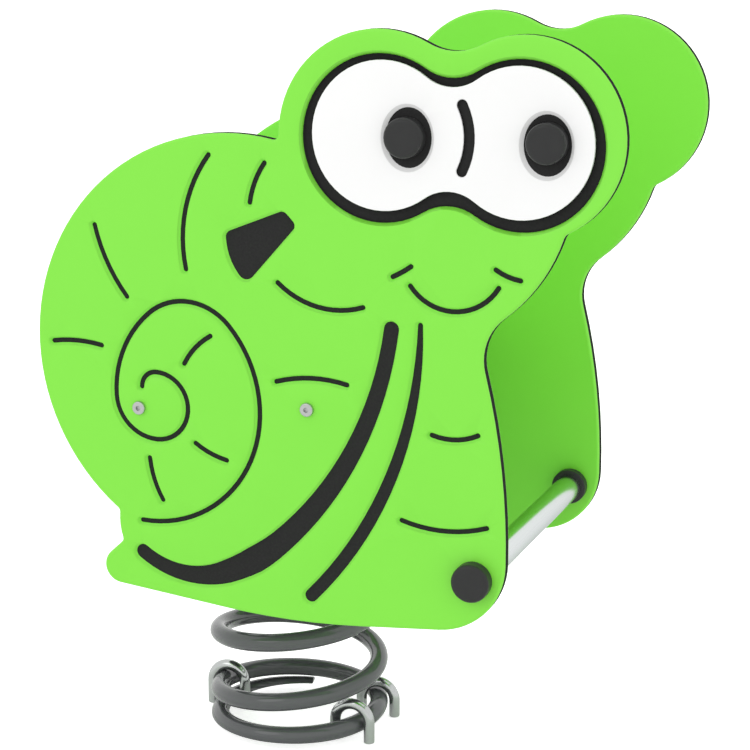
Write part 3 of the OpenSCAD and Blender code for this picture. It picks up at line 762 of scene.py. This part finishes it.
class SNAIL_OT_side_panels(Operator):
    """Two routed panels with rounded edges and a dark core"""

    bl_idname = "snail.side_panels"
    bl_label = "Side Panels"

    def execute(self, context):
        edge = settings().sheet.edge_round
        for side, along in zip(SIDES, (X_AXIS, -X_AXIS)):
            node = f"{side}_side_panel"
            sheet_piece(f"{side}_panel_sheet", node, along, Z_AXIS, "sheet_green", edge, edge, panel_slope)
        return {"FINISHED"}


class SNAIL_OT_eye_plates(Operator):
    """White plates with the pupils and the line between them"""

    bl_idname = "snail.eye_plates"
    bl_label = "Eye Plates"

    def execute(self, context):
        edge = settings().sheet.plate_round
        for side, along in zip(SIDES, (X_AXIS, -X_AXIS)):
            node = f"{side}_eye_plate"
            sheet_piece(f"{side}_eye_sheet", node, along, Z_AXIS, "sheet_white", edge, 0, eye_plate_slope)
        return {"FINISHED"}


class SNAIL_OT_seat(Operator):
    """Seat board with rounded edges, and its countersunk screws"""

    bl_idname = "snail.seat"
    bl_label = "Seat"

    def execute(self, context):
        edge = settings().sheet.edge_round
        along = (middle("front_seat_rail") - middle("rear_seat_rail")).normalized()
        sheet_piece("seat_sheet", "seat_board", along, Y_AXIS, "sheet_green", edge, edge, panel_slope)
        dress("seat_screws", "fastener_steel")
        return {"FINISHED"}


def wire_height(spring, turn):
    """Height of the wire's middle after a turn in degrees, with an eased change of pitch."""

    def eased(u):
        if u < -spring.ease:
            return 0
        if u > spring.ease:
            return u
        return (u + spring.ease) ** 2 / (4 * spring.ease)

    slow = spring.end_pitch / 360
    extra = (spring.rise - slow * spring.turn) / (spring.turn - 2 * spring.end_turn)
    steep = eased(turn - spring.end_turn) - eased(turn - spring.turn + spring.end_turn)
    return spring.low + slow * turn + extra * steep


def wire_point(spring, turn):
    """Middle of the wire after a turn in degrees."""
    bearing = math.radians(spring.start + turn)
    height = wire_height(spring, turn)
    return Vector((spring.coil * math.cos(bearing), spring.coil * math.sin(bearing), height))


def wire_ring(spring, turn):
    """Points round the wire after a turn in degrees."""
    centre = wire_point(spring, turn)
    bearing = math.radians(spring.start + turn)
    out = Vector((math.cos(bearing), math.sin(bearing), 0))
    run = (wire_point(spring, turn + 1) - wire_point(spring, turn - 1)).normalized()
    up = out.cross(run)
    angles = [2 * math.pi * k / spring.sides for k in range(spring.sides)]
    return [centre + spring.wire / 2 * (math.cos(a) * out + math.sin(a) * up) for a in angles]


def wire_piece(name, spring, first, last):
    """Stretch of the spring's wire between two turns in degrees, with a cut end where the wire ends."""
    steps = round((last - first) / 360 * spring.rings)
    sides = spring.sides
    points = []
    for i in range(steps + 1):
        points += wire_ring(spring, first + (last - first) * i / steps)
    faces = []
    for ring in range(0, steps * sides, sides):
        for k in range(sides):
            a = ring + k
            b = ring + (k + 1) % sides
            faces.append((a, b, b + sides, a + sides))
    if first == 0:
        faces.append(tuple(reversed(range(sides))))
    if last == spring.turn:
        faces.append(tuple(range(steps * sides, (steps + 1) * sides)))
    mesh = bpy.data.meshes.new(name)
    mesh.from_pydata(points, [], faces)
    return mesh_object(name, mesh)


def round_cut(piece, radius):
    """Break the edge of the wire's cut end."""
    with editing(piece):
        round_edges(lambda edge: any(end_face(f) for f in edge.link_faces), radius, CUT_STEPS)


def grind_foot(piece, height):
    """Cut the wire off flat below a height."""
    with editing(piece):
        bpy.ops.mesh.select_all(action="SELECT")
        bpy.ops.mesh.bisect(plane_co=(0, 0, height), plane_no=(0, 0, 1), use_fill=True, clear_inner=True)


class SNAIL_OT_spring(Operator):
    """Painted coil spring in two halves"""

    bl_idname = "snail.spring"
    bl_label = "Spring"

    def execute(self, context):
        spring = settings().spring
        half = spring.turn / 2
        centre = wire_height(spring, half)
        held = wire_height(spring, spring.hold_turn) + spring.wire / 2
        rest = 2 * centre - held
        bends = {
            "lower_spring_coils": (0, half, GROUND, SPRING, held, centre),
            "upper_spring_coils": (half, spring.turn, SPRING, RIDER, centre, rest),
        }
        for name, (first, last, below, above, start, end) in bends.items():
            piece = wire_piece(name, spring, first, last)
            round_cut(piece, spring.end_round)
            if first == 0:
                grind_foot(piece, spring.foot)
            smooth(piece, degrees=50)
            hand_over(piece, name, "spring_paint", "main_spring", body=None)
            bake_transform(piece)
        return {"FINISHED"}


def clamp_piece(half, leg, rod, end_round):
    """U-shaped rod round the origin, its arch on top and its legs down, with rounded ends."""
    piece = add_object(
        bpy.ops.mesh.primitive_circle_add,
        vertices=ROD_SIDES,
        radius=rod / 2,
        fill_type="NGON",
        location=(0, 0, 0),
    )
    with editing(piece):
        bpy.ops.mesh.select_all(action="SELECT")
        bpy.ops.transform.translate(value=(half, 0, 0))
        bpy.ops.mesh.spin(steps=ARCH_STEPS, angle=math.pi, center=(0, 0, 0), axis=(0, 1, 0))
        pick("FACE", end_face)
        extrude(-leg)
        round_edges(level_at(-leg), end_round, RIM_STEPS)
    outward(piece)
    return piece


CLAMPS = {
    "lower_clamp_front_right": GROUND,
    "lower_clamp_front_left": GROUND,
    "lower_clamp_rear": GROUND,
    "upper_clamp_rear": RIDER,
    "upper_clamp_front": RIDER,
    "upper_clamp_side": RIDER,
}


class SNAIL_OT_clamps(Operator):
    """Galvanised rods that hold the spring's two ends, with their nuts and washers"""

    bl_idname = "snail.clamps"
    bl_label = "Clamps"

    def execute(self, context):
        fittings = settings().fittings
        for node, body in CLAMPS.items():
            size = extent(node)
            at = middle(node)
            below = body == GROUND
            bearing = 0 if below else math.atan2(at.y, at.x)
            half = (max(size.x, size.y) - fittings.rod) / 2
            half /= max(abs(math.cos(bearing)), abs(math.sin(bearing)))
            leg = size.z - half - fittings.rod / 2
            piece = clamp_piece(half, leg, fittings.rod, fittings.rod_round)
            turn = Matrix.Rotation(bearing, 4, "Z")
            if below:
                at.z += size.z / 2 - half - fittings.rod / 2
            else:
                at.z -= size.z / 2 - half - fittings.rod / 2
                turn = turn @ Matrix.Rotation(math.pi, 4, "X")
            place_piece(piece, Matrix.Translation(at) @ turn)
            smooth(piece)
            hand_over(piece, f"{node}_rod", "galvanised", node, body=body)
        dress("upper_clamp_washers", "galvanised")
        dress("upper_clamp_nuts", "galvanised", fittings.nut_edge)
        return {"FINISHED"}


class SNAIL_OT_seat_frame(Operator):
    """Painted plate, saddles and rails that carry the seat and the panels"""

    bl_idname = "snail.seat_frame"
    bl_label = "Seat Frame"

    def execute(self, context):
        for node in ("top_plate", "rear_rail_saddles", "front_rail_saddles"):
            dress(node, "frame_paint", settings().fittings.frame_edge)
        for node in ("rear_seat_rail", "front_seat_rail"):
            dress(node, "frame_paint")
        dress("rail_plugs", "fastener_steel")
        return {"FINISHED"}


def round_solid(radius, height, sides=ROUND_SIDES, base=0.0):
    """Upright cylinder or prism from a base level up, as a start."""
    piece = add_object(
        bpy.ops.mesh.primitive_cylinder_add,
        vertices=sides,
        radius=radius,
        depth=height,
        location=(0, 0, base + height / 2),
    )
    place_piece(piece, piece.matrix_world.copy())
    return piece


def rims_of(radius, height):
    """Test for the edges on the outer rims of a tube that stands on the origin."""
    ends = (level_at(0), level_at(height))

    def on_rim(edge):
        outer = all(abs(v.co.to_2d().length - radius) < WELD for v in edge.verts)
        return outer and any(end(edge) for end in ends)

    return on_rim


def tube_piece(radius, wall, height, rim):
    """Tube from the origin up, with rounded outer rims."""
    piece = round_solid(radius, height)
    with editing(piece):
        pick("FACE", end_face)
        bpy.ops.mesh.inset(thickness=wall)
        pick("FACE", end_face)
        bpy.ops.mesh.bridge_edge_loops()
        round_edges(rims_of(radius, height), rim, RIM_STEPS)
    outward(piece)
    return piece


def fit_both_sides(pattern, fitting, ending):
    """Copies of a plastic piece in place of a solid on the right and its like on the left."""
    for side in SIDES:
        node = f"{side}_{fitting}"
        piece = copy_of(pattern)
        place_piece(piece, across(node, side))
        smooth(piece)
        hand_over(piece, f"{node}_{ending}", "black_plastic", node)
    bpy.data.objects.remove(pattern)


class SNAIL_OT_bars(Operator):
    """Polished handle bar and foot bar, with the plugs and bolts in their ends"""

    bl_idname = "snail.bars"
    bl_label = "Bars"

    def execute(self, context):
        fittings = settings().fittings
        for node in ("handle_bar", "foot_bar"):
            size = extent(node)
            piece = tube_piece(size.x / 2, fittings.bar_wall, size.y, fittings.bar_round)
            place_piece(piece, across(node, "right"))
            smooth(piece)
            hand_over(piece, f"{node}_tube", "bar_steel", node)
        for node in ("bar_plugs", "bar_bolts", "eye_cap_screws"):
            dress(node, "fastener_steel")
        return {"FINISHED"}


class SNAIL_OT_collars(Operator):
    """Black collars round the bars' ends, inside the panels"""

    bl_idname = "snail.collars"
    bl_label = "Collars"

    def execute(self, context):
        fittings = settings().fittings
        for bar in ("handle", "foot"):
            size = extent(f"right_{bar}_collar")
            bore = extent(f"{bar}_bar").x / 2 + fittings.collar_gap
            ring = tube_piece(size.x / 2, size.x / 2 - bore, size.y, fittings.collar_round)
            fit_both_sides(ring, f"{bar}_collar", "ring")
        return {"FINISHED"}


def cap_piece(radius, height, fittings):
    """Hollow cap from the origin up, with a rounded rim on top."""
    piece = round_solid(radius, height)
    with editing(piece):
        round_edges(level_at(height), fittings.cap_round, EDGE_STEPS)
        pick("FACE", level_at(0))
        bpy.ops.mesh.inset(thickness=fittings.cap_wall)
        extrude(height - fittings.cap_crown)
    outward(piece)
    return piece


class SNAIL_OT_caps(Operator):
    """Hollow black caps with rounded rims, and the discs that they snap on"""

    bl_idname = "snail.caps"
    bl_label = "Caps"

    def execute(self, context):
        for covered in ("handle", "foot", "eye"):
            size = extent(f"right_{covered}_cap")
            shell = cap_piece(size.x / 2, size.y, settings().fittings)
            fit_both_sides(shell, f"{covered}_cap", "shell")
        dress("cap_bases", "black_plastic")
        return {"FINISHED"}


def panel_bolt(fittings):
    """Button-head bolt with a hexagon socket, its head's seat at the origin."""
    height = fittings.bolt_height
    piece = round_solid(fittings.bolt_head / 2, height, BOLT_SIDES)
    with editing(piece):
        round_edges(level_at(height), fittings.bolt_round * height, EDGE_STEPS)
        pick("FACE", level_at(0))
        bpy.ops.mesh.inset(thickness=(fittings.bolt_head - fittings.bolt_shank) / 2)
        extrude(-fittings.bolt_reach)
        round_edges(level_at(-fittings.bolt_reach), fittings.bolt_chamfer, steps=1)
    depth = fittings.socket_depth * height
    corner = fittings.bolt_socket / 2 / math.cos(math.pi / SOCKET_SIDES)
    socket = round_solid(corner, 2 * depth, SOCKET_SIDES, height - depth)
    apply_modifier(piece, "BOOLEAN", operation="DIFFERENCE", object=socket, solver="EXACT")
    bpy.data.objects.remove(socket)
    outward(piece)
    return piece


class SNAIL_OT_panel_bolts(Operator):
    """Button-head bolts that hold the panels to the seat rails"""

    bl_idname = "snail.panel_bolts"
    bl_label = "Panel Bolts"

    def execute(self, context):
        bolt = panel_bolt(settings().fittings)
        for rail in ("rear", "front"):
            for side in SIDES:
                piece = copy_of(bolt)
                at = across(f"{rail}_seat_rail", side)
                low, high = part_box(f"{side}_side_panel")
                at.translation.y = low.y if side == "right" else high.y
                place_piece(piece, at)
                smooth(piece)
                hand_over(piece, f"{rail}_{side}_panel_bolt", "fastener_steel", "panel_bolts")
        bpy.data.objects.remove(bolt)
        return {"FINISHED"}


class SNAIL_OT_stage(Operator):
    """Camera, even light and a white floor"""

    bl_idname = "snail.stage"
    bl_label = "Stage"

    def execute(self, context):
        stage = settings().stage
        context.scene.view_settings.view_transform = "Standard"
        context.scene.camera = self.set_camera(stage)
        context.scene.world = self.light_world(stage)
        self.lay_floor(stage)
        self.hang_lamp(stage)
        return {"FINISHED"}

    def set_camera(self, stage):
        """Camera that sees the rider from its right and front."""
        camera = add_object(bpy.ops.object.camera_add, location=stage.camera_at, rotation=stage.camera_turn)
        camera.name = "camera"
        camera.data.lens = stage.lens
        camera.data.sensor_width = stage.sensor
        camera.data.clip_end = 2 * stage.floor
        return camera

    def light_world(self, stage):
        """White all round: at full strength where it is seen, and at its own strength where it lights."""
        world = bpy.data.worlds.new("even_light")
        graph = Graph(world, "Background")
        graph.set("Color", (1, 1, 1, 1))
        graph.set("Strength", stage.world + (1 - stage.world) * graph.seen())
        return world

    def lay_floor(self, stage):
        """White floor that keeps the shadow, with its lit part lifted to white where it is seen."""
        level = (0, 0, CAD_BOX[0].z)
        floor = add_object(bpy.ops.mesh.primitive_plane_add, size=stage.floor, location=level)
        floor.name = "floor"
        tone = stage.floor_tone
        shader = Shader("white_floor", Roughness=1, Specular_IOR_Level=0)
        shader.set("Base Color", (tone, tone, tone, 1))
        shader.set("Emission Color", (1, 1, 1, 1))
        lift = (1 - tone * stage.world) * shader.seen() + (stage.floor_white - 1) * shader.ray("Camera")
        shader.set("Emission Strength", lift)
        floor.data.materials.append(shader.material)

    def hang_lamp(self, stage):
        """Large soft lamp that shines at the rider."""
        aim = (CAD_BOX[0] + CAD_BOX[1]) / 2 - Vector(stage.lamp_at)
        turn = aim.to_track_quat("-Z", "Y").to_euler()
        lamp = add_object(bpy.ops.object.light_add, type="AREA", location=stage.lamp_at, rotation=turn)
        lamp.name = "front_lamp"
        lamp.data.shape = "DISK"
        lamp.data.size = stage.lamp_size
        lamp.data.energy = stage.lamp_power


STEPS = (
    SNAIL_OT_stage,
    SNAIL_OT_side_panels,
    SNAIL_OT_eye_plates,
    SNAIL_OT_seat,
    SNAIL_OT_spring,
    SNAIL_OT_clamps,
    SNAIL_OT_seat_frame,
    SNAIL_OT_bars,
    SNAIL_OT_collars,
    SNAIL_OT_caps,
    SNAIL_OT_panel_bolts,
)


class SNAIL_PT_rider(Panel):
    """Sidebar list of the steps that dress the rider"""

    bl_idname = "SNAIL_PT_rider"
    bl_label = "Snail Rider"
    bl_space_type = "VIEW_3D"
    bl_region_type = "UI"
    bl_category = "Snail Rider"

    def draw(self, context):
        for step in STEPS:
            self.layout.operator(step.bl_idname)


SETTINGS = {
    "snail_sheet": SnailSheetSettings,
    "snail_spring": SnailSpringSettings,
    "snail_fittings": SnailFittingSettings,
    "snail_stage": SnailStageSettings,
}


def register():
    """Add the settings, the steps and the panel."""
    for name, group in SETTINGS.items():
        bpy.utils.register_class(group)
        setattr(bpy.types.Scene, name, PointerProperty(type=group))
    for step in STEPS:
        bpy.utils.register_class(step)
    bpy.utils.register_class(SNAIL_PT_rider)


def unregister():
    """Take away the panel, the steps and the settings."""
    bpy.utils.unregister_class(SNAIL_PT_rider)
    for step in reversed(STEPS):
        bpy.utils.unregister_class(step)
    for name, group in SETTINGS.items():
        delattr(bpy.types.Scene, name)
        bpy.utils.unregister_class(group)


def main():
    """Build every piece."""
    register()
    for step in STEPS:
        family, call = step.bl_idname.split(".")
        getattr(getattr(bpy.ops, family), call)()


if __name__ == "__main__":
    main()
